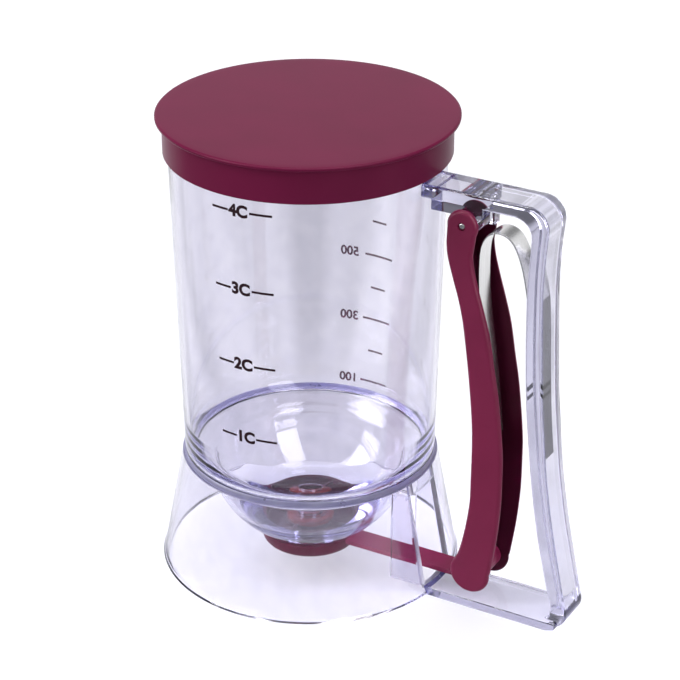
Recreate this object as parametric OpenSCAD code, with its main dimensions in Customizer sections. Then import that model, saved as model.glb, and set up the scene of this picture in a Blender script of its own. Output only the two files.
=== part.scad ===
// Clear batter dispenser: measuring cylinder with a round bowl, squeeze trigger and swinging valve.
// Units are millimetres. Z is up, the handle is on +X, the origin is the centre of the base on the table.

/* [Vessel] */
// Outer radius of the cylinder at its top rim
cyl_top_r = 52.4; // [51.8:0.1:52.5]
// Outer radius of the cylinder at the seam above the bowl
cyl_low_r = 48.9; // [48.4:0.1:49.2]
// Height of the cylinder's top rim
rim_z = 184; // [182.5:0.1:184.1]
// Thickness of the clear walls
wall_t = 1.8; // [1.5:0.1:2]
// Outer radius of the round bowl
bowl_r = 40.2; // [39.4:0.1:40.6]
// Radius of the outlet hole
outlet_r = 6.5; // [5:0.1:7]

/* [Base] */
// Radius of the skirt where it stands on the table
base_r = 59; // [58.4:0.1:59.6]
// Width of the slot for the valve arm
slot_w = 18.8; // [16:0.1:19.4]
// Height of the top of the slot
slot_top = 41; // [34:0.5:42]

/* [Handle] */
// Width of the grip and of the top arm
grip_w = 15.7; // [14:0.1:15.9]
// Width of the foot of the handle
foot_w = 20.9; // [19.8:0.1:24]
// Thickness of the foot of the handle
foot_t = 3.6; // [3:0.1:3.7]

/* [Trigger] */
// Width over the two side walls
lever_w = 20; // [19.9:0.05:21]
// Thickness of each side wall
lever_wall = 1.7; // [1.4:0.05:1.7]
// Thickness of the finger web
web_t = 1.8; // [1.4:0.1:2.2]
// Radius of the pivot pin
pin_r = 1.5; // [1.2:0.05:1.6]

/* [Valve] */
// Outer radius of the valve dish
dish_r = 19.4; // [17:0.1:20]
// Width of the valve arm
arm_w = 10; // [8:0.1:12]
// Outer radius of the seal ring
seal_r = 9.4; // [8.5:0.1:9.6]

/* [Spring] */
// Width of the spring strip
strip_w = 9; // [7:0.1:11]
// Thickness of the spring strip
strip_t = 0.6; // [0.4:0.05:0.7]

/* [Lid] */
// Radius of the lid's lip
lip_r = 56.4; // [55.5:0.1:58]
// Height of the lid's top face
lid_top = 185.8; // [185.4:0.1:187]
// Height of the lower edge of the lid's skirt
lid_low = 171; // [170.4:0.1:174]

/* [Hidden] */
fine = 96;
seam_z = 47.8;
flange_z = 45.8;
flange_r = 49.4;
bowl_z = 46.9;
bowl_floor = 11.3;
lip_z = 10.8;
bowl_t = 1.9;
bowl_split = 20;
lip_out = outlet_r + 2.1;
skirt_top_r = 50;
skirt_low_r = 57.9;
skirt_foot = 3;
gap = 0.3;
fit = 0.05;
top_z = 170;
top_t = 5.3;
pin_x = 68.9;
pin_z = 157.8;
boss_r = 5;
lobe_x = 75.6;
lobe_z = 14.6;
lobe_r = 8.1;
arm_z = 8.4;
arm_t = 2;
slot_low = 3.6;
guide_x = 42;
guide_t = 1.6;
rib_out = 4.5;
rib_half = 1.2;
inner_half = lever_w / 2 - lever_wall;

clear_tint = [0.82, 0.81, 0.90, 0.35];
maroon = [0.47, 0.16, 0.28];
red = [0.80, 0.25, 0.18];
steel = [0.75, 0.76, 0.76];

// Stations of the handle: outer face from the top corner down, then inner face from the bottom up.
grip_outer = [[102, 162], [101, 150], [100.6, 136], [101.3, 116], [102.3, 95], [103.5, 81], [105.2, 63],
    [108.3, 43], [111.4, 27.5], [114.4, 13]];
grip_inner = [[109, 9.5], [106.6, 18.7], [104.4, 28.6], [102.3, 38.5], [99.2, 58.2], [97, 78], [95.6, 93],
    [94.7, 112], [94.3, 131], [94.4, 142], [95, 152]];
// Stations of the trigger's finger edge, from the top down.
edge_in = [[62.9, 156], [62.6, 151], [63.2, 145], [65.6, 136.5], [67.9, 129], [69.7, 121.5], [70.9, 114],
    [72.5, 102], [73.8, 90.5], [74.8, 79], [75.1, 68], [75, 56], [74.8, 46], [73.6, 36.5], [72, 28],
    [70.3, 21], [69.6, 15]];
// Stations of the trigger's open edge, from the bottom up.
edge_out = [[83.4, 14.5], [85.3, 20], [86.4, 29], [87.1, 38], [87.7, 48], [87.8, 60], [87.5, 71],
    [85.4, 90.5], [83.4, 102], [81.4, 114], [79.5, 121.5], [77.3, 129], [75.1, 136.5], [73.6, 143],
    [73.2, 149], [74.4, 156]];
// Middle line of the spring strip, from its end in the trigger over the top to its end on the grip.
strip_line = [[81.2, 72], [79.9, 84], [78.3, 98], [76.3, 112], [74.7, 123], [73.8, 133], [73.6, 142],
    [74.2, 149], [76.4, 153.5], [79.9, 155.6], [83.6, 155.4], [86.6, 153.4], [89, 149.5], [91, 144],
    [92.5, 137.5], [93.7, 130], [94.2, 118], [94.6, 106], [95.3, 93], [96.2, 81], [97.6, 68]];

// Smooth curve through a list of points.
function mix(a, b, c, d, t) = 0.5 * (2 * b + (c - a) * t + (2 * a - 5 * b + 4 * c - d) * t * t
    + (3 * b - a - 3 * c + d) * t * t * t);
function curve(p, n = 3) = let (m = len(p)) [
    for (i = [0 : m - 2]) for (k = [0 : n - 1])
        mix(p[max(i - 1, 0)], p[i], p[i + 1], p[min(i + 2, m - 1)], k / n),
    p[m - 1]];
function arc(x, z, r, a, b, n = 8) = [for (k = [0 : n]) let (q = a + (b - a) * k / n)
    [x + r * cos(q), z + r * sin(q)]];
function flip(p) = [for (k = [len(p) - 1 : -1 : 0]) p[k]];
function unit(v) = v / norm(v);
// A strip of thickness t whose middle line is p.
function side(p, d) = [for (k = [0 : len(p) - 1]) let (
    v = unit(p[min(k + 1, len(p) - 1)] - p[max(k - 1, 0)])) p[k] + d * [-v[1], v[0]]];
function ribbon(p, t) = concat(side(p, t / 2), flip(side(p, -t / 2)));
function shift(p, d) = [for (q = p) [q[0] + d, q[1]]];
function cyl_r(z) = cyl_low_r + (cyl_top_r - cyl_low_r) * (z - seam_z) / (rim_z - seam_z);
function skirt_r(z) = skirt_top_r + (skirt_low_r - skirt_top_r) * (flange_z - z) / (flange_z - skirt_foot);

// Raises a side view drawn in X and Z into a solid of width w centred on Y.
module slab(w) {
    rotate([90, 0, 0])
    linear_extrude(height = w, center = true)
    children();
}

module rod(x, z, r, l) {
    translate([x, 0, z])
    rotate([90, 0, 0])
    cylinder(r = r, h = l, center = true, $fn = fine);
}

module cylinder_wall() {
    rotate_extrude($fn = fine)
    polygon([[cyl_low_r, seam_z], [cyl_top_r, rim_z - 0.6], [cyl_top_r - 0.5, rim_z],
        [cyl_top_r - wall_t + 0.4, rim_z], [cyl_top_r - wall_t, rim_z - 0.5],
        [cyl_low_r - wall_t, seam_z]]);
}

module cylinder_part() {
    color(clear_tint)
    cylinder_wall();
}

// Angle of a point at height z on the bowl's round wall of radius r.
function bowl_angle(r, z) = -asin((bowl_z - z) / r);

// Round wall of the bowl and the flange that carries the cylinder.
module bowl_part() {
    r_in = bowl_r - bowl_t;
    color(clear_tint)
    rotate_extrude($fn = fine)
    polygon(concat([[flange_r, seam_z], [flange_r, flange_z], [47.2, flange_z], [44.6, 44.7], [42, 42.6]],
        arc(0, bowl_z, bowl_r, -10, bowl_angle(bowl_r, bowl_split), 12),
        arc(0, bowl_z, r_in, bowl_angle(r_in, bowl_split), -8, 12),
        [[40.6, 43.9], [43.4, 46], [47.1, seam_z]]));
}

// Foot of the bowl, which slopes a little towards the outlet.
module bowl_floor_part() {
    r_in = bowl_r - bowl_t;
    color(clear_tint)
    rotate_extrude($fn = fine)
    polygon(concat(
        arc(0, bowl_z, bowl_r, bowl_angle(bowl_r, bowl_split), bowl_angle(bowl_r, bowl_floor), 8),
        [[lip_out, bowl_floor], [lip_out, bowl_floor + bowl_t - 0.5]],
        arc(0, bowl_z, r_in, bowl_angle(r_in, bowl_floor + bowl_t), bowl_angle(r_in, bowl_split), 8)));
}

// Short spout round the outlet hole, which the seal closes.
module outlet_lip_part() {
    color(clear_tint)
    rotate_extrude($fn = fine)
    polygon([[outlet_r, lip_z], [lip_out, lip_z], [lip_out, bowl_floor + bowl_t - 0.5],
        [outlet_r, bowl_floor + bowl_t - 0.6]]);
}

module skirt_shell() {
    rotate_extrude($fn = fine)
    polygon([[base_r, 0], [base_r - 0.2, 0.9], [skirt_low_r, skirt_foot], [skirt_top_r, flange_z],
        [skirt_top_r - 2, flange_z], [skirt_r(slot_low) - wall_t, slot_low], [base_r - wall_t - 0.5, 0]]);
}

module skirt_inside() {
    rotate_extrude($fn = fine)
    polygon([[0, -1], [base_r - wall_t - 0.3, -1], [skirt_r(slot_low) - wall_t + 0.3, slot_low],
        [skirt_top_r - 1.7, flange_z], [0, flange_z]]);
}

module skirt_part() {
    color(clear_tint)
    difference() {
        union() {
            skirt_shell();
            intersection() {
                skirt_inside();
                translate([guide_x, -slot_w / 2 - guide_t, slot_low])
                cube([20, slot_w + 2 * guide_t, slot_top - slot_low]);
            }
        }
        translate([guide_x - 1, -slot_w / 2, slot_low])
        cube([30, slot_w, slot_top + 0.02 - slot_low]);
    }
}

module grip_shape() {
    polygon(concat([[40, top_z]], arc(94, top_z - 8, 8, 90, 8, 8), curve(grip_outer),
        arc(108.6, 7, 7, 10, -90, 8), [[96, 0], [96, foot_t]], [[106.9, foot_t], [108.8, 5.4]],
        curve(grip_inner), [[95.3, 157.5]], arc(88.2, 157.6, 7.1, 12, 90, 6), [[40, top_z - top_t]]));
}

module handle_solid() {
    slab(grip_w)
    grip_shape();
    slab(foot_w)
    polygon([[50, 0], [108.6, 0], [112.4, 1.1], [112.4, foot_t], [50, foot_t]]);
    // Block under the top arm that carries the pivot boss.
    slab(grip_w)
    polygon([[55.5, top_z - top_t], [55.5, 161], [76, 161], [76, top_z - top_t]]);
    rod(pin_x, pin_z, boss_r, grip_w);
    translate([76.2, -2, 157.5])
    cube([2.1, 4, top_z - top_t - 157]);
}

module handle_part() {
    color(clear_tint)
    difference() {
        handle_solid();
        rod(pin_x, pin_z, pin_r + 0.01, grip_w + 2);
        translate([0, 0, 100])
        cylinder(r1 = cyl_r(100) + fit, r2 = cyl_r(180) + fit, h = 80, $fn = fine);
        translate([0, 0, -1])
        cylinder(r = base_r + fit, h = 1.9, $fn = fine);
        translate([0, 0, 0.89])
        cylinder(r1 = base_r - 0.18, r2 = skirt_r(6) + fit, h = 5.11, $fn = fine);
    }
}

module pivot_pin_part() {
    color(steel)
    rod(pin_x, pin_z, pin_r, lever_w + 0.5);
}

module lever_side() {
    polygon(concat(curve(edge_in), curve(edge_out)));
    translate([pin_x, pin_z])
    circle(r = 6.1, $fn = fine);
    translate([lobe_x, lobe_z])
    circle(r = lobe_r, $fn = fine);
}

module lever_walls() {
    intersection() {
        slab(lever_w)
        lever_side();
        union() {
            translate([50, inner_half, 0])
            cube([50, lever_wall, 170]);
            translate([50, -lever_w / 2, 0])
            cube([50, lever_wall, 170]);
        }
    }
}

module lever_web() {
    line = [for (q = curve(edge_in)) if (q[1] <= 149 && q[1] >= 20.5) q];
    slab(2 * inner_half + 0.2)
    polygon(concat(line, flip(shift(line, web_t))));
}

module lever_rib() {
    line = [for (q = curve(edge_in)) if (q[1] <= 149 && q[1] >= 66) q];
    slab(2 * rib_half)
    polygon(concat(shift(line, web_t - 0.3), flip(shift(line, rib_out))));
}

module trigger_lever_part() {
    color(maroon)
    difference() {
        union() {
            lever_walls();
            lever_web();
            lever_rib();
        }
        rod(pin_x, pin_z, pin_r + 0.06, lever_w + 2);
    }
}

module valve_arm_part() {
    color(maroon)
    difference() {
        union() {
            translate([10, -arm_w / 2, arm_z])
            cube([68, arm_w, arm_t]);
            rod(lobe_x, lobe_z, 5, 2 * inner_half);
        }
        translate([0, 0, arm_z - 1])
        cylinder(r = dish_r + 0.02, h = arm_t + 2, $fn = fine);
    }
}

module valve_dish_part() {
    color(maroon)
    union() {
        rotate_extrude($fn = fine)
        polygon([[0, 5], [dish_r - 2.2, 5], [dish_r - 0.7, 6], [dish_r, 8], [dish_r, arm_z + arm_t],
            [dish_r - 1.5, arm_z + arm_t], [dish_r - 1.6, 7.6], [dish_r - 2.8, 6.5], [seal_r + 0.4, 6.5],
            [seal_r + 0.4, 8.5], [4.6, 8.5], [4.6, 7], [0, 7]]);
        for (a = [0 : 90 : 270])
        rotate([0, 0, a])
        translate([seal_r + 0.2, -0.7, 6.2])
        cube([dish_r - seal_r - 1.4, 1.4, 3.2]);
    }
}

module seal_ring_part() {
    color(red)
    rotate_extrude($fn = fine)
    polygon([[5.2, 8.5], [seal_r, 8.5], [seal_r, 10], [seal_r - 0.5, 10.5], [5.7, 10.5], [5.2, 10]]);
}

module leaf_spring_part() {
    color(steel)
    slab(strip_w)
    polygon(ribbon(curve(strip_line, 4), strip_t));
}

module lid_part() {
    r_in = cyl_top_r + gap;
    r_out = r_in + 1.2;
    color(maroon)
    rotate_extrude($fn = fine)
    polygon([[0, lid_top], [lip_r - 0.7, lid_top], [lip_r, lid_top - 0.5], [lip_r, lid_top - 1.2],
        [lip_r - 0.3, lid_top - 1.5], [r_out, lid_top - 1.5], [r_out, lid_low], [r_in, lid_low],
        [r_in, lid_top - 1.5], [0, lid_top - 1.5]]);
}

cylinder_part();  // cylinder
bowl_part();  // bowl
bowl_floor_part();  // bowl_floor
outlet_lip_part();  // outlet_lip
skirt_part();  // base_skirt
handle_part();  // handle
pivot_pin_part();  // pivot_pin
trigger_lever_part();  // trigger_lever
valve_arm_part();  // valve_arm
valve_dish_part();  // valve_dish
seal_ring_part();  // seal_ring
leaf_spring_part();  // leaf_spring
lid_part();  // lid
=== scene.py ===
import math

import bmesh
import bpy
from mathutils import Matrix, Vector


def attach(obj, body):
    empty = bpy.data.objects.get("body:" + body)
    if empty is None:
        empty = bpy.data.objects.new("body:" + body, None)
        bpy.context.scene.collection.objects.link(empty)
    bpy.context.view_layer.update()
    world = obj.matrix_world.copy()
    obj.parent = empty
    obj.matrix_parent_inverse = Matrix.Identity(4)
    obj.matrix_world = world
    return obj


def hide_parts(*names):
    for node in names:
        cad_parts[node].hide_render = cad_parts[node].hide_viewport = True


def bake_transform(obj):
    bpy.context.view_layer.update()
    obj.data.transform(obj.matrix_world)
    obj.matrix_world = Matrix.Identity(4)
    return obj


# Batter dispenser: a clear moulded vessel and handle, a maroon lid and squeeze trigger, and a steel strip spring.
# Sizes below are in millimetres, and MM turns them to metres. Letters: R radius, W width along Y, T thickness,
# X and Z places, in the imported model's frame.
MM = 0.001
SIDES = 128          # faces round a turned piece
MERGE = 0.002        # points nearer than this are one

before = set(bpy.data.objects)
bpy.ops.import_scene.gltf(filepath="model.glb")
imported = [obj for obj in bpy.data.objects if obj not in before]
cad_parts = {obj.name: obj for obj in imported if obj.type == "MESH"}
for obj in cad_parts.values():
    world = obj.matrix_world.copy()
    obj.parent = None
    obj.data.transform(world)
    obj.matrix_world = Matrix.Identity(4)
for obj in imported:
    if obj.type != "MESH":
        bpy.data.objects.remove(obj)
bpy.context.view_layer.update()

# Sizes of the vessel. The bowl's inside is level at WELL_Z: so thick a floor raises the dish's image as in the photo.
CYL_TOP_R, CYL_LOW_R, RIM_Z, SEAM_Z, WALL_T = 52.4, 48.9, 184.0, 47.8, 1.8
BOWL_R, BOWL_Z, BOWL_T, FLOOR_Z, LIP_Z, OUTLET_R, WELL_Z = 40.2, 46.9, 1.9, 11.3, 10.8, 5.0, 20.0
FLANGE_R, FLANGE_Z, BASE_R, SKIRT_TOP_R, SKIRT_LOW_R = 49.4, 45.8, 59.0, 50.0, 57.9
SLOT_W, SLOT_LOW, SLOT_TOP, GUIDE_X, GUIDE_T = 18.8, 3.6, 41.0, 42.0, 1.6
# Sizes of the handle, the trigger, the valve and the lid.
GRIP_W, FOOT_W, FOOT_T, TOP_Z, TOP_T = 15.7, 20.9, 3.6, 170.0, 5.3
PIN_X, PIN_Z, PIN_R, BOSS_R = 68.9, 157.8, 1.5, 5.0
LEVER_W, LEVER_WALL, WEB_T, RIB_X, RIB_W = 20.0, 1.7, 1.8, 4.5, 2.4
LOBE_X, LOBE_Z, LOBE_R, EAR_R = 75.6, 14.6, 8.1, 6.1
ARM_W, ARM_Z, ARM_T, ROOT_R, DISH_R, DISH_RIBS, SEAL_R = 10.0, 8.4, 2.0, 5.0, 19.4, 4, 9.4
STRIP_W, STRIP_T = 9.0, 0.6
LIP_R, LID_TOP, LID_LOW, LID_IN_R = 56.4, 185.8, 171.0, 52.7
# The printed film: its thickness, its gap from the wall, and the steps in which a line bends round it.
INK_T, INK_GAP, LINE_STEPS = 0.04, 0.03, 12
# Places on the scales are a height, and degrees round the wall. A cup mark is a number and its height.
CUP_MARKS = [(4, 165.1), (3, 134.3), (2, 103.5), (1, 72.8)]
CUP_LINES, CUP_TEXT_TURN, CUP_TEXT_H = [(-100.5, -92.8), (-83.2, -73.7)], -88.2, 6.3
# A millilitre mark is its height, its line's start and end, and its number if it has one.
MILLILITRE_MARKS = [(122.6, 82.1, 89.7, None), (108.2, 78.4, 93.3, "500"), (94.1, 82.1, 90.0, None),
                    (80.2, 79.0, 94.0, "300"), (66.0, 82.7, 90.8, None), (52.2, 79.8, 94.7, "100")]
MILLILITRE_TEXT_TURN, MILLILITRE_TEXT_H = 101.0, 5.3

# The photograph's camera: degrees round and down, distance, the aim's place across and up, and its focal length in
# pixels of the photograph's width.
VIEW_TURN, VIEW_TILT, VIEW_REACH, VIEW_SIDE, VIEW_Z = 29.8018, 26.5486, 897.205, 11.741, 91.489
FOCAL_PIXELS, PHOTO_PIXELS, SENSOR_W = 2330.62, 680, 36

# Outline stations in side view, as (x, z).
GRIP_OUTER = [(102, 162), (101, 150), (100.6, 136), (101.3, 116), (102.3, 95), (103.5, 81), (105.2, 63),
              (108.3, 43), (111.4, 27.5), (114.4, 13)]
GRIP_INNER = [(109, 9.5), (106.6, 18.7), (104.4, 28.6), (102.3, 38.5), (99.2, 58.2), (97, 78), (95.6, 93),
              (94.7, 112), (94.3, 131), (94.4, 142), (95, 152)]
FINGER_EDGE = [(62.9, 156), (62.6, 151), (63.2, 145), (65.6, 136.5), (67.9, 129), (69.7, 121.5), (70.9, 114),
               (72.5, 102), (73.8, 90.5), (74.8, 79), (75.1, 68), (75, 56), (74.8, 46), (73.6, 36.5), (72, 28),
               (70.3, 21), (69.6, 15)]
OPEN_EDGE = [(83.7, 14.5), (84.4, 18.5), (86.0, 29), (87.0, 38), (87.7, 48), (87.8, 60), (87.5, 71),
             (85.4, 90.5), (83.4, 102), (81.4, 114), (79.5, 121.5), (77.3, 129), (75.1, 136.5), (73.6, 143),
             (73.2, 149), (74.4, 156)]
STRIP_LINE = [(81.2, 72), (79.9, 84), (78.3, 98), (76.3, 112), (74.7, 123), (73.8, 133), (73.6, 142),
              (74.2, 149), (76.4, 153.5), (79.9, 155.6), (83.6, 155.4), (86.6, 153.4), (89, 149.5), (91, 144),
              (92.5, 137.5), (93.7, 130), (94.2, 118), (94.6, 106), (95.3, 93), (96.2, 81), (97.6, 68)]


# ---------------------------------------------------------------- drawing helpers

def cyl_r(z):
    """Outer radius of the tapered cylinder at a height."""
    return CYL_LOW_R + (CYL_TOP_R - CYL_LOW_R) * (z - SEAM_Z) / (RIM_Z - SEAM_Z)


def skirt_r(z):
    """Outer radius of the flared base at a height."""
    return SKIRT_TOP_R + (SKIRT_LOW_R - SKIRT_TOP_R) * (FLANGE_Z - z) / (FLANGE_Z - 3.0)


def from_axis(place):
    """How far a place is from the vessel's axis."""
    return math.hypot(place.x, place.y)


def smooth_line(points, steps=4):
    """A smooth curve through the stations."""
    out = []
    for i in range(len(points) - 1):
        a, b = points[max(i - 1, 0)], points[i]
        c, d = points[i + 1], points[min(i + 2, len(points) - 1)]
        for k in range(steps):
            t = k / steps
            out.append(tuple(0.5 * (2 * q + (r - p) * t + (2 * p - 5 * q + 4 * r - s) * t * t
                                    + (3 * q - p - 3 * r + s) * t ** 3) for p, q, r, s in zip(a, b, c, d)))
    return out + [points[-1]]


def round_corner(x, z, r, start, end, steps=8):
    """Points of an arc in side view, from start to end in degrees."""
    turns = [math.radians(start + (end - start) * k / steps) for k in range(steps + 1)]
    return [(x + r * math.cos(a), z + r * math.sin(a)) for a in turns]


def wall_arc(r, low, high, steps):
    """Rings of the bowl's round wall of radius r between two heights."""
    a, b = math.asin((low - BOWL_Z) / r), math.asin((high - BOWL_Z) / r)
    turns = [a + (b - a) * k / steps for k in range(steps + 1)]
    return [(r * math.cos(t), BOWL_Z + r * math.sin(t)) for t in turns]


# ---------------------------------------------------------------- modelling helpers

def clear_selection():
    """Leaves edit mode and deselects everything."""
    if bpy.context.object and bpy.context.object.mode != "OBJECT":
        bpy.ops.object.mode_set(mode="OBJECT")
    bpy.ops.object.select_all(action="DESELECT")


def hold(piece):
    """Makes the piece the only one that operators act on."""
    clear_selection()
    piece.select_set(True)
    bpy.context.view_layer.objects.active = piece


def name_piece(name):
    """Names the piece that was just made."""
    piece = bpy.context.object
    piece.name = piece.data.name = name
    return piece


def settle(piece):
    """Puts the piece's place and size into its mesh."""
    hold(piece)
    bpy.ops.object.transform_apply(location=True, rotation=True, scale=True)


def pick(kind, test):
    """Selects, in edit mode, the vertices, edges or faces that pass the test."""
    mode = {"verts": "VERT", "edges": "EDGE", "faces": "FACE"}[kind]
    bpy.ops.mesh.select_mode(type=mode)
    bpy.ops.mesh.select_all(action="DESELECT")
    mesh = bpy.context.object.data
    draft = bmesh.from_edit_mesh(mesh)
    for item in getattr(draft, kind):
        item.select = test(item)
    draft.select_flush_mode()
    bmesh.update_edit_mesh(mesh)


def face_out():
    """In edit mode, merges doubles and turns every face outwards."""
    bpy.ops.mesh.select_mode(type="FACE")
    bpy.ops.mesh.select_all(action="SELECT")
    bpy.ops.mesh.remove_doubles(threshold=MERGE * MM)
    bpy.ops.mesh.normals_make_consistent(inside=False)


def clean_faces(piece):
    """Merges a piece's doubles and turns its faces outwards, as after a cut."""
    hold(piece)
    bpy.ops.object.mode_set(mode="EDIT")
    face_out()
    bpy.ops.object.mode_set(mode="OBJECT")


def use_modifier(piece, kind, **settings):
    """Adds a modifier and applies it."""
    hold(piece)
    modifier = piece.modifiers.new(kind.title(), kind)
    for key, value in settings.items():
        setattr(modifier, key, value)
    bpy.ops.object.modifier_apply(modifier=modifier.name)


def soften(piece, width, steps=3, angle=35):
    """Rounds the edges that turn by more than the angle."""
    use_modifier(piece, "BEVEL", width=width * MM, segments=steps, limit_method="ANGLE",
                 angle_limit=math.radians(angle), miter_outer="MITER_ARC")


def cut(piece, tool, way="DIFFERENCE"):
    """Cuts the tool away from the piece, or joins it on, and drops the tool."""
    use_modifier(piece, "BOOLEAN", object=tool, operation=way, solver="EXACT")
    bpy.data.objects.remove(tool)


def extrude_ring(dr, dz, r, z):
    """Draws the picked ring up by dz and out by dr."""
    bpy.ops.mesh.extrude_edges_move(TRANSFORM_OT_translate={"value": (0, 0, dz * MM)})
    grow = (r + dr) / r
    bpy.ops.transform.resize(value=(grow, grow, 1), center_override=(0, 0, (z + dz) * MM))


def turned_piece(name, rings, sides=SIDES, cap_start=False, cap_end=False):
    """A round piece on the vessel's axis, drawn ring by ring. Each ring is (radius, height)."""
    clear_selection()
    r, z = rings[0]
    bpy.ops.mesh.primitive_circle_add(vertices=sides, radius=r * MM, location=(0, 0, z * MM))
    piece = name_piece(name)
    bpy.ops.object.mode_set(mode="EDIT")
    bpy.ops.mesh.select_mode(type="EDGE")
    bpy.ops.mesh.select_all(action="SELECT")
    if cap_start:
        bpy.ops.mesh.edge_face_add()
        bpy.ops.mesh.select_mode(type="EDGE")
        bpy.ops.mesh.select_all(action="SELECT")
    for next_r, next_z in rings[1:]:
        extrude_ring(next_r - r, next_z - z, r, z)
        r, z = next_r, next_z
    if cap_end:
        bpy.ops.mesh.edge_face_add()
    if not cap_start and not cap_end:
        pick("edges", lambda edge: edge.is_boundary)
        bpy.ops.mesh.bridge_edge_loops()
    face_out()
    settle(piece)
    return piece


def traced_slab(name, outline, width):
    """A slab of the given width along Y, whose side view is traced point by point and filled."""
    clear_selection()
    x, z = outline[0]
    bpy.ops.mesh.primitive_plane_add(size=MM, location=(x * MM, -width / 2 * MM, z * MM))
    piece = name_piece(name)
    bpy.ops.object.mode_set(mode="EDIT")
    bpy.ops.mesh.select_mode(type="VERT")
    bpy.ops.mesh.select_all(action="SELECT")
    bpy.ops.mesh.merge(type="CENTER")
    for next_x, next_z in outline[1:]:
        bpy.ops.mesh.extrude_vertices_move(
            TRANSFORM_OT_translate={"value": ((next_x - x) * MM, 0, (next_z - z) * MM)})
        x, z = next_x, next_z
    pick("verts", lambda end: len(end.link_edges) == 1)
    bpy.ops.mesh.edge_face_add()
    bpy.ops.mesh.select_all(action="SELECT")
    bpy.ops.mesh.edge_face_add()
    bpy.ops.mesh.select_mode(type="FACE")
    bpy.ops.mesh.select_all(action="SELECT")
    bpy.ops.mesh.extrude_region_move(TRANSFORM_OT_translate={"value": (0, width * MM, 0)})
    face_out()
    settle(piece)
    return piece


def cross_rod(name, x, z, r, length, sides):
    """A round rod along Y."""
    clear_selection()
    bpy.ops.mesh.primitive_cylinder_add(vertices=sides, radius=r * MM, depth=length * MM,
                                        location=(x * MM, 0, z * MM), rotation=(math.pi / 2, 0, 0))
    piece = name_piece(name)
    bpy.ops.object.mode_set(mode="EDIT")
    face_out()
    settle(piece)
    return piece


def block(name, low, high):
    """A block between two corners."""
    clear_selection()
    middle = [(a + b) / 2 * MM for a, b in zip(low, high)]
    size = [(b - a) * MM for a, b in zip(low, high)]
    bpy.ops.mesh.primitive_cube_add(size=1, location=middle)
    bpy.ops.transform.resize(value=size)
    piece = name_piece(name)
    settle(piece)
    return piece


def join_on(piece, others):
    """Adds other meshes to the piece as they are."""
    hold(piece)
    for other in others:
        other.select_set(True)
    bpy.ops.object.join()


def finish_piece(piece, finish, body, nodes=(), angle=30):
    """Smooths the piece, gives it its finish, and says what it rides on and stands for."""
    hold(piece)
    bpy.ops.object.shade_smooth_by_angle(angle=math.radians(angle))
    use_modifier(piece, "WEIGHTED_NORMAL", keep_sharp=True)
    piece.data.materials.clear()
    piece.data.materials.append(finish)
    if body:
        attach(piece, body)
    if nodes:
        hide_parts(*nodes)


def coat_faces(piece, finish, test):
    """Gives a second finish to the faces whose middle, in millimetres, and normal pass the test."""
    piece.data.materials.append(finish)
    hold(piece)
    bpy.ops.object.mode_set(mode="EDIT")
    pick("faces", lambda face: test(face.calc_center_median() / MM, face.normal))
    piece.active_material_index = len(piece.data.materials) - 1
    bpy.ops.object.material_slot_assign()
    bpy.ops.object.mode_set(mode="OBJECT")


# ---------------------------------------------------------------- finishes

def srgb(code):
    """A hex colour as linear light."""
    parts = [int(code[i:i + 2], 16) / 255 for i in (1, 3, 5)]
    return tuple(p / 12.92 if p <= 0.04045 else ((p + 0.055) / 1.055) ** 2.4 for p in parts) + (1.0,)


def add_node(tree, kind, links=(), **settings):
    """Adds a node; settings are its properties or socket values, and links are (source, its socket, my socket)."""
    node = tree.nodes.new("ShaderNode" + kind)
    for key, value in settings.items():
        if hasattr(node, key):
            setattr(node, key, value)
        else:
            node.inputs[key.replace("_", " ")].default_value = value
    for source, out, into in links:
        tree.links.new(source.outputs[out], node.inputs[into])
    return node


def new_finish(name):
    """An empty material, its node tree and its output."""
    finish = bpy.data.materials.new(name)
    finish.use_nodes = True
    tree = finish.node_tree
    tree.nodes.clear()
    return finish, tree, tree.nodes.new("ShaderNodeOutputMaterial")


def mottle(tree, place, out, dark, light, **pattern):
    """A noise pattern, and the colour between dark and light that it gives."""
    cloud = add_node(tree, "TexNoise", [(place, out, "Vector")], **pattern)
    colour = add_node(tree, "ValToRGB", [(cloud, "Fac", "Fac")])
    ends = colour.color_ramp.elements
    ends[0].position, ends[0].color = 0.3, srgb(dark)
    ends[1].position, ends[1].color = 0.7, srgb(light)
    return cloud, colour


def clear_styrene(name, tint, dark_tint, depth, density, ripple, index=1.57, blur=0.035, clarity=1.0):
    """Clear styrene copolymer, injection moulded: glossy, faintly violet, with slow flow waves about 22 mm across in
    its faces and a haze of 6 mm. Walls look almost bare, and long paths through the edges turn blue-violet."""
    finish, tree, output = new_finish(name)
    place = add_node(tree, "TexCoord")
    flow = add_node(tree, "TexNoise", [(place, "Object", "Vector")], Scale=45.0, Detail=2.0, Roughness=0.4)
    haze, colour = mottle(tree, place, "Object", dark_tint, tint, Scale=160.0, Detail=3.0)
    rough = add_node(tree, "MapRange", [(haze, "Fac", "Value")], To_Min=0.0, To_Max=blur)
    waves = add_node(tree, "Bump", [(flow, "Fac", "Height")], Strength=ripple, Distance=0.4 * MM)
    skin = add_node(tree, "BsdfPrincipled", [(colour, "Color", "Base Color"), (rough, "Result", "Roughness"),
                                            (waves, "Normal", "Normal")], IOR=index, Transmission_Weight=clarity)
    rays = add_node(tree, "LightPath")
    shade = add_node(tree, "BsdfTransparent", Color=srgb("#fbfbfe"))
    both = add_node(tree, "MixShader", [(rays, "Is Shadow Ray", 0), (skin, "BSDF", 1), (shade, "BSDF", 2)])
    inside = add_node(tree, "VolumeAbsorption", Color=srgb(depth), Density=density)
    tree.links.new(both.outputs["Shader"], output.inputs["Surface"])
    tree.links.new(inside.outputs["Volume"], output.inputs["Volume"])
    return finish


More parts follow.
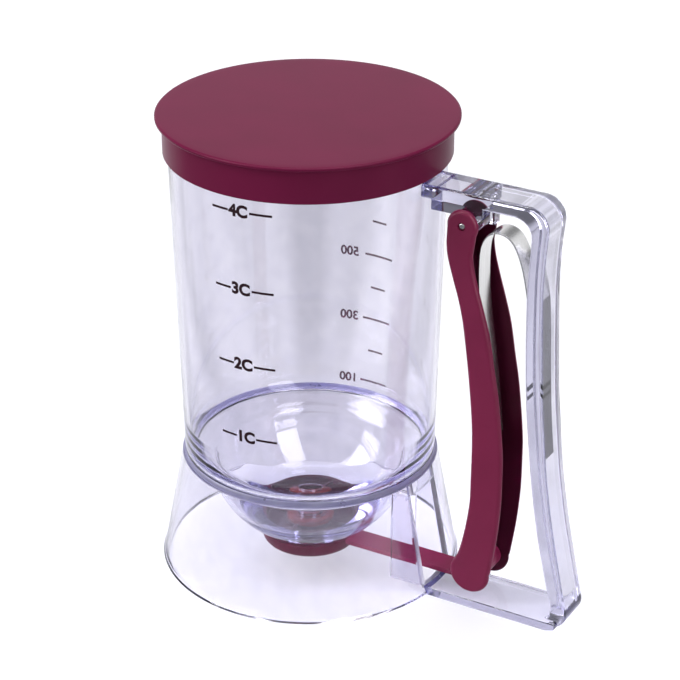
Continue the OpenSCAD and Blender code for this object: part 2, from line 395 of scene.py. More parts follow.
def moulded_maroon(name, deep, bright, grain, rough_low, rough_high, gloss):
    """Maroon polypropylene, injection moulded with a fine matt texture: a soft sheen and a faint cloud of colour,
    26 mm across."""
    finish, tree, output = new_finish(name)
    place = add_node(tree, "TexCoord")
    cloud, colour = mottle(tree, place, "Object", deep, bright, Scale=38.0, Detail=3.0)
    # The mould's texture is 0.3 mm grains, drawn at about 0.6 mm so that it shows.
    texture = add_node(tree, "TexNoise", [(place, "Object", "Vector")], Scale=1600.0, Detail=2.0)
    rough = add_node(tree, "MapRange", [(cloud, "Fac", "Value")], To_Min=rough_low, To_Max=rough_high)
    bump = add_node(tree, "Bump", [(texture, "Fac", "Height")], Strength=grain, Distance=0.03 * MM)
    skin = add_node(tree, "BsdfPrincipled", [(colour, "Color", "Base Color"), (rough, "Result", "Roughness"),
                                            (bump, "Normal", "Normal")], IOR=1.49, Specular_IOR_Level=gloss)
    tree.links.new(skin.outputs["BSDF"], output.inputs["Surface"])
    return finish


def silicone_seal(dark, light):
    """Red silicone rubber, moulded: dull, with a cloud of 4 mm where the mould's release has marked it."""
    finish, tree, output = new_finish("moulded_silicone_red")
    place = add_node(tree, "TexCoord")
    cloud, colour = mottle(tree, place, "Object", dark, light, Scale=220.0, Detail=3.0)
    bump = add_node(tree, "Bump", [(cloud, "Fac", "Height")], Strength=0.2, Distance=0.05 * MM)
    skin = add_node(tree, "BsdfPrincipled", [(colour, "Color", "Base Color"), (bump, "Normal", "Normal")],
                    IOR=1.41, Roughness=0.5)
    tree.links.new(skin.outputs["BSDF"], output.inputs["Surface"])
    return finish


def rolled_steel(name, dark, light, scale, rough_low, rough_high):
    """Stainless steel, rolled strip or drawn wire: bright, with fine lines along its length, 0.4 mm apart on the
    strip and 1.1 mm on the pin. The real ones are finer and wouldn't show."""
    finish, tree, output = new_finish(name)
    place = add_node(tree, "TexCoord")
    along = add_node(tree, "Mapping", [(place, "Object", "Vector")], Scale=scale)
    lines, colour = mottle(tree, along, "Vector", dark, light, Scale=1.0, Detail=3.0)
    rough = add_node(tree, "MapRange", [(lines, "Fac", "Value")], To_Min=rough_low, To_Max=rough_high)
    bump = add_node(tree, "Bump", [(lines, "Fac", "Height")], Strength=0.15, Distance=0.01 * MM)
    skin = add_node(tree, "BsdfPrincipled", [(colour, "Color", "Base Color"), (rough, "Result", "Roughness"),
                                            (bump, "Normal", "Normal")], Metallic=1.0)
    tree.links.new(skin.outputs["BSDF"], output.inputs["Surface"])
    return finish


def pad_print(name, dark, light):
    """Pad-printed ink: dark maroon, matt, with the density changes of a printed film, about 1 mm across."""
    finish, tree, output = new_finish(name)
    place = add_node(tree, "TexCoord")
    _, colour = mottle(tree, place, "Object", dark, light, Scale=900.0, Detail=2.0)
    skin = add_node(tree, "BsdfPrincipled", [(colour, "Color", "Base Color")], IOR=1.5, Roughness=0.55,
                    Specular_IOR_Level=0.15)
    tree.links.new(skin.outputs["BSDF"], output.inputs["Surface"])
    return finish


# Clear finishes: tint, dark tint, colour and density of long paths, ripple, then index, blur and clarity.
CLEAR_SHELL = clear_styrene("clear_styrene_shell", "#f6f5f9", "#f0eff5", "#8a84da", 19.0, 0.12)
# The thin guide walls are drawn with a low index, so that their edges read as faint as they do in a thin moulding.
CLEAR_RIB = clear_styrene("clear_styrene_thin_rib", "#f2f1f8", "#ecebf5", "#8a84da", 19.0, 0.12, 1.12)
# The steps of the seam and the slot's edges are narrow moulded faces, blurred and milky, so that they show violet.
CLEAR_SEAM = clear_styrene("clear_styrene_seam", "#d0cdf0", "#c4c0e9", "#8a84da", 19.0, 0.12, 1.45, 0.9, 0.55)
CLEAR_EDGE = clear_styrene("clear_styrene_moulded_edge", "#f6f5fb", "#eceaf6", "#8a84da", 19.0, 0.12, 1.4, 1.1, 0.8)
# The outlet's red tint is a painted reflection of the seal below it.
CLEAR_OUTLET_PAINTED_REFLECTION = clear_styrene("clear_styrene_outlet_painted_reflection", "#b4555a", "#a84e55", "#8a84da", 19.0, 0.12)
# The bonded ends of the handle are tinted dark blue: painted shade where the joint turns the light back.
CLEAR_BOND_PAINTED_SHADE = clear_styrene("clear_styrene_bonded_end_painted_shade", "#463f9c", "#383188", "#7c76c8", 22.0, 0.45, 1.57, 0.2, 0.4)
CLEAR_HANDLE = clear_styrene("clear_styrene_handle", "#f4f3f7", "#eeedf3", "#7c76c8", 22.0, 0.45)
# Maroon finishes: deep and bright colour, grain, least and most roughness, gloss.
LID_MAROON = moulded_maroon("moulded_polypropylene_lid", "#6b193c", "#711b40", 0.04, 0.27, 0.31, 0.07)
LEVER_MAROON = moulded_maroon("moulded_polypropylene_trigger", "#7b1c42", "#832047", 0.05, 0.34, 0.42, 0.22)
# A near-black copy of the trigger's maroon: painted shade for the channel's inner faces.
INSIDE_MAROON_PAINTED_SHADE = moulded_maroon("moulded_polypropylene_inside_painted_shade", "#3f0a20", "#480c26", 0.05, 0.40, 0.48, 0.10)
# A darker copy of the trigger's maroon for the dish: painted shade, as the dish lies under the bowl.
VALVE_MAROON_PAINTED_SHADE = moulded_maroon("moulded_polypropylene_valve_painted_shade", "#4f0e28", "#57112d", 0.05, 0.30, 0.38, 0.12)
SEAL_RED = silicone_seal("#8e2419", "#a43323")
# Steel finishes: dark and light colour, lines in a metre along X, Y and Z, least and most roughness.
STRIP_LINES, PIN_LINES = (2600.0, 2600.0, 40.0), (900.0, 60.0, 900.0)
SPRING_STEEL = rolled_steel("rolled_stainless_strip", "#e2e2df", "#f3f3f1", STRIP_LINES, 0.16, 0.26)
SHADED_STEEL = rolled_steel("rolled_stainless_shaded", "#202222", "#2c2e2e", STRIP_LINES, 0.2, 0.3)
PIN_STEEL = rolled_steel("drawn_stainless_pin", "#b5b5b3", "#d6d6d4", PIN_LINES, 0.18, 0.28)
CUP_INK = pad_print("pad_printed_ink_dark", "#1e0410", "#2a0816")
MILLILITRE_INK = pad_print("pad_printed_ink_maroon", "#470d28", "#561232")


# ---------------------------------------------------------------- clear vessel

def clear_vessel():
    """Measuring cylinder and round bowl in one moulding: a tapered wall with a rounded rim that curves into the bowl,
    the flange that the base fits under, the foot that slopes to the outlet and the short outlet lip."""
    rim = [(cyl_r(RIM_Z - 0.9), RIM_Z - 0.9), (CYL_TOP_R - 0.15, RIM_Z - 0.3),
           (CYL_TOP_R - 0.5, RIM_Z), (CYL_TOP_R - WALL_T + 0.5, RIM_Z), (CYL_TOP_R - WALL_T + 0.12, RIM_Z - 0.3),
           (cyl_r(RIM_Z - 0.9) - WALL_T, RIM_Z - 0.9)]
    flange = [(CYL_LOW_R + 0.05, SEAM_Z + 0.35), (CYL_LOW_R + 0.2, SEAM_Z + 0.08), (FLANGE_R - 0.15, SEAM_Z),
              (FLANGE_R, SEAM_Z - 0.2), (FLANGE_R, FLANGE_Z + 0.2),
              (FLANGE_R - 0.2, FLANGE_Z + 0.02), (47.2, FLANGE_Z + 0.02), (45.6, 45.4), (44.2, 44.4), (42, 42.2)]
    lip = [(OUTLET_R + 2.1, FLOOR_Z), (OUTLET_R + 2.0, LIP_Z), (OUTLET_R + 0.1, LIP_Z), (OUTLET_R, LIP_Z + 0.2),
           (OUTLET_R, WELL_Z - 0.4), (OUTLET_R + 0.4, WELL_Z)]
    well = [(14, WELL_Z), (20, WELL_Z), (24, WELL_Z + 0.25), (27, WELL_Z + 1.0), (29.2, WELL_Z + 2.2)]
    blend = smooth_line([(39.3, 42.3), (40.2, 43.6), (41.6, 44.9), (43.6, 46.4), (44.9, 48.0), (45.8, 50.3),
                         (46.5, 53.4), (47.0, 57.5), (cyl_r(62) - WALL_T, 62)])
    wall = [(cyl_r(z), z) for z in (150, 120, 90, 70, 56)]
    rings = rim[::-1][3:] + wall + flange + wall_arc(BOWL_R, 39.9, FLOOR_Z, 28) + lip
    rings += smooth_line(well, 3) + wall_arc(BOWL_R - BOWL_T, WELL_Z + 4.5, 41.0, 24) + blend
    rings += [(cyl_r(z) - WALL_T, z) for z in (75, 95, 120, 150)] + rim[::-1][:3]
    piece = turned_piece("clear_vessel", rings)
    finish_piece(piece, CLEAR_SHELL, "vessel", ["cylinder", "bowl", "bowl_floor", "outlet_lip"], 50)
    coat_faces(piece, CLEAR_SEAM, lambda middle, normal: (
        FLANGE_Z - 0.3 < middle.z < SEAM_Z + 0.5 and from_axis(middle) > FLANGE_R - 2.9))
    # The outlet's wall is tinted red: a painted reflection of the seal below it.
    coat_faces(piece, CLEAR_OUTLET_PAINTED_REFLECTION, lambda middle, normal: from_axis(middle) < OUTLET_R + 0.1)


def clear_skirt():
    """Flared base with the slot for the valve arm and a thin guide wall each side of it."""
    rings = [(SKIRT_TOP_R, FLANGE_Z - 0.2), (SKIRT_LOW_R, 3.0), (BASE_R - 0.25, 0.9), (BASE_R - 0.05, 0.3),
             (BASE_R - 0.3, 0.0), (BASE_R - WALL_T - 0.3, 0.0), (BASE_R - WALL_T - 0.6, 0.4),
             (skirt_r(SLOT_LOW) - WALL_T, SLOT_LOW), (SKIRT_TOP_R - 2, FLANGE_Z - 0.2),
             (SKIRT_TOP_R - 1.7, FLANGE_Z), (SKIRT_TOP_R - 0.3, FLANGE_Z)]
    piece = turned_piece("clear_skirt", rings)
    half = SLOT_W / 2
    slot = block("slot", (GUIDE_X + 4, -half, SLOT_LOW), (72, half, SLOT_TOP))
    cut(piece, slot)
    clean_faces(piece)
    finish_piece(piece, CLEAR_SHELL, "vessel", ["base_skirt"], 25)
    coat_faces(piece, CLEAR_SEAM, lambda middle, normal: middle.z > FLANGE_Z - 0.6)
    coat_faces(piece, CLEAR_EDGE, lambda middle, normal: middle.x > GUIDE_X - 2 and (
        abs(abs(middle.y) - half) < 0.02 or (abs(middle.y) < half and SLOT_LOW - 0.1 < middle.z < SLOT_TOP + 0.1)))
    guides = []
    low_z, high_z = SLOT_LOW - 1, SLOT_TOP + 1
    for side in (-1, 1):
        low_y, high_y = sorted((side * half, side * (half + GUIDE_T)))
        wall = block("slot_guide", (GUIDE_X, low_y, SLOT_LOW), (62, high_y, SLOT_TOP))
        inside = turned_piece("inside", [(30, low_z), (skirt_r(low_z) - WALL_T - 0.3, low_z),
                                         (skirt_r(high_z) - WALL_T - 0.3, high_z), (30, high_z)], 96)
        cut(wall, inside, "INTERSECT")
        soften(wall, 0.2, 2)
        wall.data.materials.clear()
        wall.data.materials.append(CLEAR_RIB)
        guides.append(wall)
    join_on(piece, guides)


def clear_handle():
    """Loop handle: top arm, grip and foot in one, with the pivot block, its boss and the small peg."""
    outline = [(40, TOP_Z)] + round_corner(94, TOP_Z - 8, 8, 90, 8, 10) + smooth_line(GRIP_OUTER)
    outline += round_corner(108.6, 7, 7, 10, -90, 10) + [(96, 0), (96, FOOT_T), (106.9, FOOT_T), (108.8, 5.4)]
    outline += smooth_line(GRIP_INNER) + [(95.3, 157.5)] + round_corner(88.2, 157.6, 7.1, 12, 90, 8)
    outline += [(40, TOP_Z - TOP_T)]
    piece = traced_slab("clear_handle", outline, GRIP_W)
    soften(piece, 1.1, 4, 50)
    foot = traced_slab("foot", [(50, 0), (108.6, 0), (112.0, 0.9), (112.4, 1.6), (112.4, FOOT_T), (50, FOOT_T)],
                       FOOT_W)
    soften(foot, 0.5, 3, 30)
    pivot = block("pivot_block", (55.5, -GRIP_W / 2, 161), (76, GRIP_W / 2, TOP_Z - TOP_T + 1.5))
    soften(pivot, 0.25, 2, 30)
    boss = cross_rod("boss", PIN_X, PIN_Z, BOSS_R, GRIP_W - 0.1, 64)
    soften(boss, 0.2, 2, 30)
    peg = block("peg", (76.2, -2, 157.5), (78.3, 2, TOP_Z - TOP_T + 1))
    soften(peg, 0.3, 2, 30)
    for part in (foot, pivot, boss, peg):
        cut(piece, part, "UNION")
    hole = cross_rod("pin_hole", PIN_X, PIN_Z, PIN_R + 0.05, GRIP_W + 2, 48)
    cut(piece, hole)
    core = turned_piece("core", [(cyl_r(100) + 0.08, 100), (cyl_r(180) + 0.08, 180)],
                        cap_start=True, cap_end=True)
    cut(piece, core)
    skirt_core = turned_piece("skirt_core", [(BASE_R + 0.06, -1), (BASE_R + 0.06, 0.9), (skirt_r(3) + 0.06, 3),
                                             (skirt_r(6) + 0.06, 6)], cap_start=True, cap_end=True)
    cut(piece, skirt_core)
    clean_faces(piece)
    finish_piece(piece, CLEAR_HANDLE, "vessel", ["handle"], 28)
    # The handle's ends against the vessel get the dark blue painted shade.
    coat_faces(piece, CLEAR_BOND_PAINTED_SHADE, lambda middle, normal: normal.x < -0.6 and from_axis(middle) < BASE_R + 1)


# ---------------------------------------------------------------- trigger and valve

def trigger_outline():
    """Side view of one wall of the trigger with its ear round the pin and its round lower lobe. The two edges stop
    where the lobe and the ear take over."""
    ear_in = [(x, z) for x, z in smooth_line(FINGER_EDGE, 3) if 21 < z < 152]
    open_side = [(x, z) for x, z in smooth_line(OPEN_EDGE, 3) if 16.5 < z < 149]
    lobe = round_corner(LOBE_X, LOBE_Z, LOBE_R, 140, 366, 40)
    ear = round_corner(PIN_X, PIN_Z, EAR_R, -28, 188, 30)
    return ear_in + lobe + open_side + ear


def trigger():
    """Squeeze trigger: a U-section with its open side to the grip, ears at the pin and lobes at the foot."""
    piece = traced_slab("squeeze_trigger", trigger_outline(), LEVER_W)
    soften(piece, 1.4, 5, 50)
    web = [(x + WEB_T, z) for x, z in smooth_line(FINGER_EDGE, 3) if 20.5 < z < 149]
    inner = LEVER_W / 2 - LEVER_WALL
    cuff = round_corner(PIN_X, PIN_Z, BOSS_R + 0.15, 148, 236, 14)
    channel = traced_slab("channel", [(50, 172), (50, cuff[0][1])] + cuff + web
                          + [(web[-1][0], 20.5), (50, 20.5), (50, 0), (100, 0), (100, 172)], 2 * inner)
    cut(piece, channel)
    bore = cross_rod("bore", PIN_X, PIN_Z, PIN_R + 0.06, LEVER_W + 2, 48)
    cut(piece, bore)
    clean_faces(piece)
    line = [(x, z) for x, z in smooth_line(FINGER_EDGE, 3) if 66 < z < 149]
    rib = traced_slab("rib", [(x + WEB_T - 0.3, z) for x, z in line] + [(x + RIB_X, z) for x, z in line[::-1]],
                      RIB_W)
    soften(rib, 0.3, 2, 40)
    join_on(piece, [rib])
    finish_piece(piece, LEVER_MAROON, "trigger", ["trigger_lever"], 32)
    # The channel is deep and narrow, so its inner faces get a near-black maroon: painted shade.
    coat_faces(piece, INSIDE_MAROON_PAINTED_SHADE, lambda middle, normal: 22 < middle.z < 150 and (
        abs(abs(middle.y) - inner) < 0.05 or (abs(middle.y) < inner and normal.x > 0.7)))


def valve_arm():
    """Flat arm from the dish to the trigger's lobes, with the round root that sits between them."""
    piece = traced_slab("flat_valve_arm", [(14, ARM_Z), (78, ARM_Z), (78, ARM_Z + ARM_T), (14, ARM_Z + ARM_T)],
                        ARM_W)
    soften(piece, 0.35, 3)
    root = cross_rod("root", LOBE_X, LOBE_Z, ROOT_R, LEVER_W - 2 * LEVER_WALL - 0.02, 64)
    soften(root, 0.2, 2)
    cut(piece, root, "UNION")
    dish_space = turned_piece("dish_space", [(DISH_R + 0.02, 6), (DISH_R + 0.02, 12)],
                              cap_start=True, cap_end=True)
    cut(piece, dish_space)
    finish_piece(piece, LEVER_MAROON, "trigger", ["valve_arm"], 32)


def valve_dish():
    """Shallow dish that hangs under the outlet, with a raised centre for the seal and four ribs."""
    rings = [(DISH_R - 2.2, 5.0), (DISH_R - 1.2, 5.4), (DISH_R - 0.5, 6.3), (DISH_R, 8.0), (DISH_R, 10.2),
             (DISH_R - 0.2, 10.4), (DISH_R - 1.3, 10.4), (DISH_R - 1.5, 10.2), (DISH_R - 1.6, 7.6),
             (DISH_R - 2.0, 6.9), (DISH_R - 2.8, 6.5), (SEAL_R + 0.6, 6.5), (SEAL_R + 0.4, 6.7), (SEAL_R + 0.4, 8.3),
             (SEAL_R + 0.2, 8.5), (4.8, 8.5), (4.6, 8.3), (4.6, 7.0)]
    piece = turned_piece("shallow_valve_dish", rings, cap_start=True, cap_end=True)
    ribs = []
    for turn in range(DISH_RIBS):
        rib = block("dish_rib", (SEAL_R + 0.2, -0.7, 6.2), (DISH_R - 1.2, 0.7, 9.4))
        soften(rib, 0.25, 2)
        rib.rotation_euler = (0, 0, 2 * math.pi * turn / DISH_RIBS)
        settle(rib)
        ribs.append(rib)
    join_on(piece, ribs)
    # The dish's darker maroon is painted shade.
    finish_piece(piece, VALVE_MAROON_PAINTED_SHADE, "trigger", ["valve_dish"], 35)


def seal_ring():
    """Soft ring with rounded edges that closes the outlet lip."""
    rings = [(5.2, 8.52), (SEAL_R, 8.52), (SEAL_R, 9.9), (SEAL_R - 0.15, 10.3), (SEAL_R - 0.5, 10.5), (5.7, 10.5),
             (5.35, 10.3), (5.2, 9.9)]
    piece = turned_piece("soft_seal_ring", rings)
    finish_piece(piece, SEAL_RED, "trigger", ["seal_ring"], 50)


def pivot_pin():
    """Steel pin with rounded ends, a little below the faces of the ears."""
    piece = cross_rod("steel_pivot_pin", PIN_X, PIN_Z, PIN_R, LEVER_W - 0.8, 48)
    soften(piece, 0.9, 5)
    finish_piece(piece, PIN_STEEL, "vessel", ["pivot_pin"])


def leaf_spring():
    """Stainless strip bent over like a hairpin, one leg in the trigger and one on the grip's inner face."""
    line = smooth_line(STRIP_LINE)
    clear_selection()
    x, z = line[0]
    bpy.ops.mesh.primitive_plane_add(size=STRIP_W * MM, location=(x * MM, 0, z * MM))
    piece = name_piece("strip_spring")
    bpy.ops.object.mode_set(mode="EDIT")
    pick("verts", lambda corner: corner.co.x < 0)
    bpy.ops.mesh.delete(type="VERT")
    bpy.ops.mesh.select_mode(type="EDGE")
    bpy.ops.mesh.select_all(action="SELECT")
    bpy.ops.transform.translate(value=(-STRIP_W / 2 * MM, 0, 0))
    for next_x, next_z in line[1:]:
        bpy.ops.mesh.extrude_edges_move(
            TRANSFORM_OT_translate={"value": ((next_x - x) * MM, 0, (next_z - z) * MM)})
        x, z = next_x, next_z
    bpy.ops.mesh.select_all(action="SELECT")
    bpy.ops.mesh.normals_make_consistent(inside=False)
    settle(piece)
    use_modifier(piece, "SOLIDIFY", thickness=STRIP_T * MM, offset=0.0)
    soften(piece, 0.12, 2, 60)
    finish_piece(piece, SPRING_STEEL, None, ["leaf_spring"], 40)
    # The leg's face against the grip gets no light, and shows through the grip as a dark strip.
    coat_faces(piece, SHADED_STEEL, lambda middle, normal: middle.x > 92 and middle.z < 132 and normal.x > 0.5)
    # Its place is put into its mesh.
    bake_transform(piece)


# ---------------------------------------------------------------- lid

def press_on_lid():
    """Press-on lid: a flat top with a thin lip over a plain skirt that grips the rim."""
    r_out = LID_IN_R + 1.2
    rings = [(LIP_R - 4.0, LID_TOP), (LIP_R - 0.9, LID_TOP), (LIP_R - 0.35, LID_TOP - 0.15), (LIP_R, LID_TOP - 0.5),
             (LIP_R, LID_TOP - 1.1), (LIP_R - 0.25, LID_TOP - 1.45), (LIP_R - 0.6, LID_TOP - 1.6),
             (r_out + 0.5, LID_TOP - 1.65), (r_out + 0.1, LID_TOP - 1.9), (r_out, LID_TOP - 2.3),
             (r_out, LID_LOW + 0.4), (r_out - 0.2, LID_LOW + 0.08), (r_out - 0.5, LID_LOW), (LID_IN_R + 0.4, LID_LOW),
             (LID_IN_R + 0.08, LID_LOW + 0.2), (LID_IN_R, LID_LOW + 0.6), (LID_IN_R, LID_TOP - 1.5)]
    piece = turned_piece("press_on_lid", rings, cap_start=True, cap_end=True)
    finish_piece(piece, LID_MAROON, "lid", ["lid"], 40)


# ---------------------------------------------------------------- printed scales

def wall_place(turn, height, proud):
    """The point on the cylinder's outer face at an angle in degrees and a height."""
    r, a = cyl_r(height) + proud, math.radians(turn)
    return Vector((r * math.cos(a), r * math.sin(a), height)) * MM


def wrap_on_wall(piece, turn, height):
    """Wraps a flat print, drawn in X and Y round the origin, onto the cylinder's outer face."""
    for vertex in piece.data.vertices:
        along, up = vertex.co.x / MM, vertex.co.y / MM
        swing = math.degrees(along / cyl_r(height))
        vertex.co = wall_place(turn + swing, height + up, INK_GAP + vertex.co.z / MM)


def scale_line(turn_a, turn_b, height, thick):
    """A printed line round part of the wall."""
    length = math.radians(abs(turn_b - turn_a)) * cyl_r(height)
    line = block("scale_line", (-length / 2, -thick / 2, 0), (length / 2, thick / 2, INK_T))
    for k in range(1, LINE_STEPS):
        bpy.ops.object.mode_set(mode="EDIT")
        bpy.ops.mesh.select_all(action="SELECT")
        bpy.ops.mesh.bisect(plane_co=(length * (k / LINE_STEPS - 0.5) * MM, 0, 0), plane_no=(1, 0, 0))
        bpy.ops.object.mode_set(mode="OBJECT")
    wrap_on_wall(line, (turn_a + turn_b) / 2, height)
    return line


def scale_number(text, turn, height, size, bold):
    """A printed number, made a mesh before it is put on the wall."""
    clear_selection()
    bpy.ops.object.text_add(location=(0, 0, 0))
    label = bpy.context.object
    label.data.body = text
    label.data.align_x, label.data.align_y = "CENTER", "CENTER"
    label.data.size = size * MM
    label.data.offset = bold * MM
    label.data.extrude = INK_T / 2 * MM
    bpy.ops.object.convert(target="MESH")
    label = name_piece("scale_number")
    clean_faces(label)
    wrap_on_wall(label, turn, height)
    return label


def cup_scale():
    """Cup scale on the near side: a line, the number and a line at each cup."""
    marks = []
    for cups, height in CUP_MARKS:
        marks += [scale_line(start, end, height, 0.9) for start, end in CUP_LINES]
        marks.append(scale_number(f"{cups}C", CUP_TEXT_TURN, height, CUP_TEXT_H, 0.3))
    join_on(marks[0], marks[1:])
    marks[0].name = marks[0].data.name = "cup_scale"
    finish_piece(marks[0], CUP_INK, "vessel")


def millilitre_scale():
    """Millilitre scale on the far side, read from behind."""
    marks = [scale_line(start, end, height, 0.85) for height, start, end, _ in MILLILITRE_MARKS]
    marks += [scale_number(text, MILLILITRE_TEXT_TURN, height, MILLILITRE_TEXT_H, 0.15)
              for height, _, _, text in MILLILITRE_MARKS if text]
    join_on(marks[0], marks[1:])
    marks[0].name = marks[0].data.name = "millilitre_scale"
    finish_piece(marks[0], MILLILITRE_INK, "vessel")


# ---------------------------------------------------------------- studio

# The room's plain light on matt faces, and the floor's glow as glass sees it; 1 is white.
ROOM_LIGHT, GLASS_GLOW = 0.38, 0.335


def camera():
    """The photograph's view: 26.5 degrees down, 29.8 degrees round from the front."""
    turn, tilt = math.radians(VIEW_TURN), math.radians(VIEW_TILT)
    target = Vector((VIEW_SIDE * math.cos(turn), VIEW_SIDE * math.sin(turn), VIEW_Z))
    back = Vector((math.sin(turn) * math.cos(tilt), -math.cos(turn) * math.cos(tilt), math.sin(tilt)))
    clear_selection()
    bpy.ops.object.camera_add(location=(target + back * VIEW_REACH) * MM)
    view = bpy.context.object
    view.rotation_euler = back.to_track_quat("Z", "Y").to_euler()
    view.data.lens = FOCAL_PIXELS / PHOTO_PIXELS * SENSOR_W
    view.data.sensor_width = SENSOR_W
    view.data.clip_start = 0.01
    bpy.context.scene.camera = view


def softbox(name, place, aim, size, power, glint_only=False):
    """A soft lamp. A glint lamp is seen in gloss only, as the far end of a studio window is."""
    clear_selection()
    bpy.ops.object.light_add(type="AREA", location=place)
    lamp = bpy.context.object
    lamp.name = name
    lamp.data.shape = "RECTANGLE"
    lamp.data.size, lamp.data.size_y = size
    lamp.data.energy = power
    lamp.visible_camera = False
    lamp.visible_diffuse = not glint_only
    lamp.rotation_euler = (Vector(place) - Vector(aim)).to_track_quat("Z", "Y").to_euler()


def pale_floor():
    """Plain pale sweep, matt, seen as white. Glass and gloss see it a little darker, with soft bands round the object
    and dark in front of it, as a lit table looks in a dim studio. It has a gentle hollow under the base, so that it
    doesn't hide the valve dish, which swings below the base when the trigger is squeezed."""
    hollow = [(3, -10.2), (8, -9.9), (20, -8.2), (32, -5.8), (42, -3.4), (50, -1.4), (56, -0.4), (62, -0.2)]
    floor = turned_piece("floor", hollow + [(150, -0.2), (6000, -0.2)], cap_start=True)
    bpy.ops.object.shade_smooth()
    finish, tree, output = new_finish("matt_pale_sweep")
    rays = add_node(tree, "LightPath")
    place = add_node(tree, "TexCoord")
    reach = add_node(tree, "VectorMath", [(place, "Object", 0)], operation="LENGTH")
    side = add_node(tree, "SeparateXYZ", [(place, "Object", "Vector")])

    # What a mirror on the object sees: dark far away and in front.
    mirrored = add_node(tree, "Math", [(rays, "Is Glossy Ray", 0), (rays, "Is Transmission Ray", 1)],
                        operation="SUBTRACT", use_clamp=True)
    far = add_node(tree, "MapRange", [(reach, "Value", "Value")], interpolation_type="SMOOTHSTEP",
                   From_Min=0.45, From_Max=0.95)
    front = add_node(tree, "MapRange", [(side, "Y", "Value")], interpolation_type="SMOOTHSTEP",
                     From_Min=0.02, From_Max=-0.12, To_Min=0.0, To_Max=0.8)
    away = add_node(tree, "Math", [(far, "Result", 0), (front, "Result", 1)], operation="MAXIMUM")
    sheen = add_node(tree, "MapRange", [(away, 0, "Value")], To_Min=0.35, To_Max=0.0)
    glow_mirror = add_node(tree, "Math", [(sheen, "Result", 0), (mirrored, 0, 1)], operation="MULTIPLY")

    # What shows through the glass: soft bands, and darker ahead of the object, where inner reflections look.
    turn = add_node(tree, "TexGradient", [(place, "Object", "Vector")], gradient_type="RADIAL")
    bands = add_node(tree, "TexNoise", [(turn, "Fac", "W")], noise_dimensions="1D", Scale=34.0, Detail=1.0)
    band = add_node(tree, "MapRange", [(bands, "Fac", "Value")],
                    From_Min=0.35, From_Max=0.65, To_Min=-0.2, To_Max=0.17)
    near = add_node(tree, "MapRange", [(reach, "Value", "Value")], interpolation_type="SMOOTHSTEP",
                    From_Min=0.07, From_Max=0.2)
    glow_glass = add_node(tree, "Math", [(band, "Result", 0), (near, "Result", 1)], operation="MULTIPLY_ADD")
    glow_glass.inputs[2].default_value = GLASS_GLOW
    ahead = add_node(tree, "MapRange", [(side, "Y", "Value")], interpolation_type="SMOOTHSTEP",
                     From_Min=-0.075, From_Max=-0.15, To_Min=1.0, To_Max=0.35)
    glass_ray = add_node(tree, "Math", [(ahead, "Result", 0), (rays, "Is Transmission Ray", 1)],
                         operation="MULTIPLY")
    glow_through = add_node(tree, "Math", [(glow_glass, 0, 0), (glass_ray, 0, 1), (glow_mirror, 0, 2)],
                            operation="MULTIPLY_ADD")

    # What the camera sees: white, with more glow of its own where the lamps' light fades.
    glow_seen = add_node(tree, "MapRange", [(reach, "Value", "Value")],
                         From_Min=0.4, From_Max=1.6, To_Min=0.47, To_Max=1.0)
    glow = add_node(tree, "Math", [(rays, "Is Camera Ray", 0), (glow_seen, "Result", 1), (glow_through, 0, 2)],
                    operation="MULTIPLY_ADD")
    shaded = add_node(tree, "Math", [(rays, "Is Transmission Ray", 0), (glass_ray, 0, 1)], operation="SUBTRACT")
    dim = add_node(tree, "Math", [(away, 0, 0), (mirrored, 0, 1), (shaded, 0, 2)], operation="MULTIPLY_ADD")
    shade = add_node(tree, "Mix", [(dim, 0, 0)], data_type="RGBA")
    shade.inputs[6].default_value, shade.inputs[7].default_value = srgb("#c9c9ce"), srgb("#4c4c58")
    matt = add_node(tree, "BsdfDiffuse", [(shade, 2, "Color")])
    light = add_node(tree, "Emission", [(glow, 0, "Strength")], Color=(1, 1, 1, 1))
    both = add_node(tree, "AddShader", [(matt, "BSDF", 0), (light, "Emission", 1)])
    tree.links.new(both.outputs["Shader"], output.inputs["Surface"])
    floor.data.materials.append(finish)


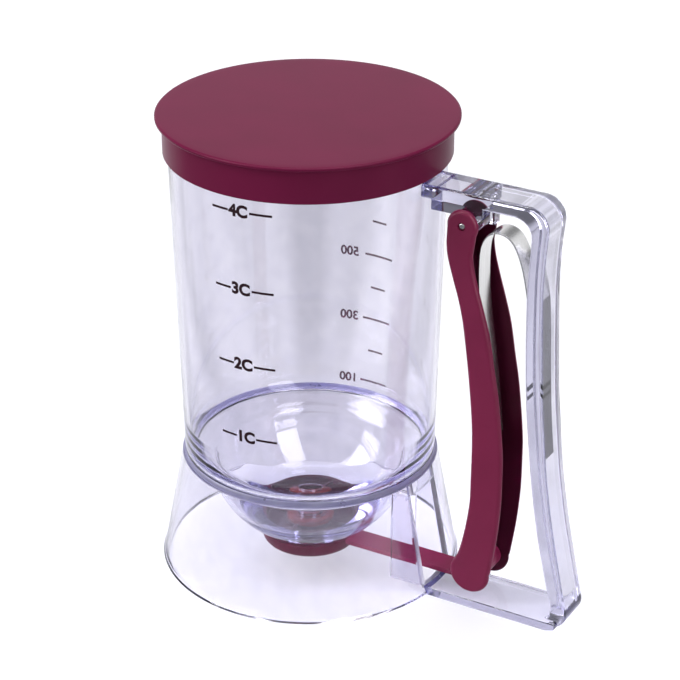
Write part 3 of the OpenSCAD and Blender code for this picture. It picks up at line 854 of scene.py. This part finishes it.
def studio_room():
    """White behind the object, and for what glass and gloss turn aside a room that darkens towards the ceiling."""
    world = bpy.data.worlds.new("studio")
    bpy.context.scene.world = world
    world.use_nodes = True
    tree = world.node_tree
    tree.nodes.clear()
    output = tree.nodes.new("ShaderNodeOutputWorld")
    rays = add_node(tree, "LightPath")
    way = add_node(tree, "TexCoord")
    split = add_node(tree, "SeparateXYZ", [(way, "Generated", "Vector")])
    wall = add_node(tree, "MapRange", [(split, "Z", "Value")], interpolation_type="SMOOTHSTEP",
                    From_Min=0.39, From_Max=0.61, To_Min=0.85, To_Max=0.08)
    through = add_node(tree, "MapRange", [(split, "Z", "Value")],
                       From_Min=0.15, From_Max=0.42, To_Min=0.85, To_Max=0.2)
    soft = add_node(tree, "Mix", [(rays, "Is Glossy Ray", 0), (wall, "Result", 3)], A=ROOM_LIGHT)
    clear = add_node(tree, "Mix", [(rays, "Is Transmission Ray", 0), (soft, 0, 2), (through, "Result", 3)])
    level = add_node(tree, "Math", [(rays, "Is Camera Ray", 0), (clear, 0, 1)], operation="MAXIMUM")
    sky = add_node(tree, "Background", [(level, 0, "Strength")], Color=srgb("#fbfbff"))
    tree.links.new(sky.outputs["Background"], output.inputs["Surface"])


def studio():
    """Camera, floor, room and lamps. Light is followed through the many walls of the clear vessel."""
    camera()
    pale_floor()
    studio_room()
    # Place, aim and size in metres, power in watts.
    middle = (0, 0, 0.08)
    softbox("left_window", (-0.95, -0.75, 0.75), middle, (0.6, 1.2), 10)
    softbox("right_window", (1.0, -0.55, 0.7), middle, (0.5, 1.2), 3)
    softbox("overhead", (0.0, 0.25, 1.35), (0, 0, 0.1), (1.0, 0.8), 9)
    softbox("left_glint", (-0.97, -0.77, 0.77), middle, (0.8, 1.9), 37, glint_only=True)
    softbox("right_glint", (1.02, -0.57, 0.72), middle, (0.7, 1.8), 26, glint_only=True)
    scene = bpy.context.scene
    scene.view_settings.view_transform = "Standard"
    scene.cycles.max_bounces = 40
    scene.cycles.transmission_bounces = 36
    scene.cycles.glossy_bounces = 12
    scene.cycles.transparent_max_bounces = 32


# ---------------------------------------------------------------- build

clear_vessel()
clear_skirt()
clear_handle()
pivot_pin()
trigger()
valve_arm()
valve_dish()
seal_ring()
leaf_spring()
press_on_lid()
cup_scale()
millilitre_scale()
studio()
